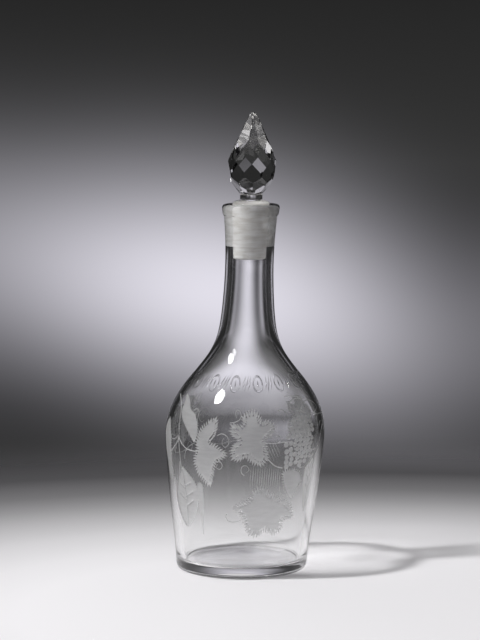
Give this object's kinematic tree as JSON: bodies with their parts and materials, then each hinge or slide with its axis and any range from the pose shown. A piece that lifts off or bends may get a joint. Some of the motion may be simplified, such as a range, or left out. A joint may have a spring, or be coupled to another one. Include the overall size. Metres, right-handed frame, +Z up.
{
  "type": "stoppered decanter",
  "caption": "Clear glass decanter with sloping shoulder, slender neck and turned lip, closed by a facet-cut pear-shaped stopper on a ground peg.",
  "frame": {"origin": "on the surface it stands on, under the centre of the body's widest ring", "axes": "+Z up, -Y towards the viewer, +X to the viewer's right, which is the way the neck leans a little"},
  "size_m": [0.1014, 0.1014, 0.29],
  "materials": {
    "decanter_glass": "clear polished, with frosted engraving and a frosted ground socket",
    "stopper_glass": "clear polished facets on the head, frosted ground peg"
  },
  "bodies": {
    "bottle": {"decanter_body": "decanter_glass"},
    "stopper": {"stopper": "stopper_glass"}
  },
  "joints": [
    {"name": "stopper_lift", "type": "slide", "parent": "bottle", "child": "stopper", "axis": [0.026, 0, 0.9997], "range_m": [0, 0.08]}
  ]
}
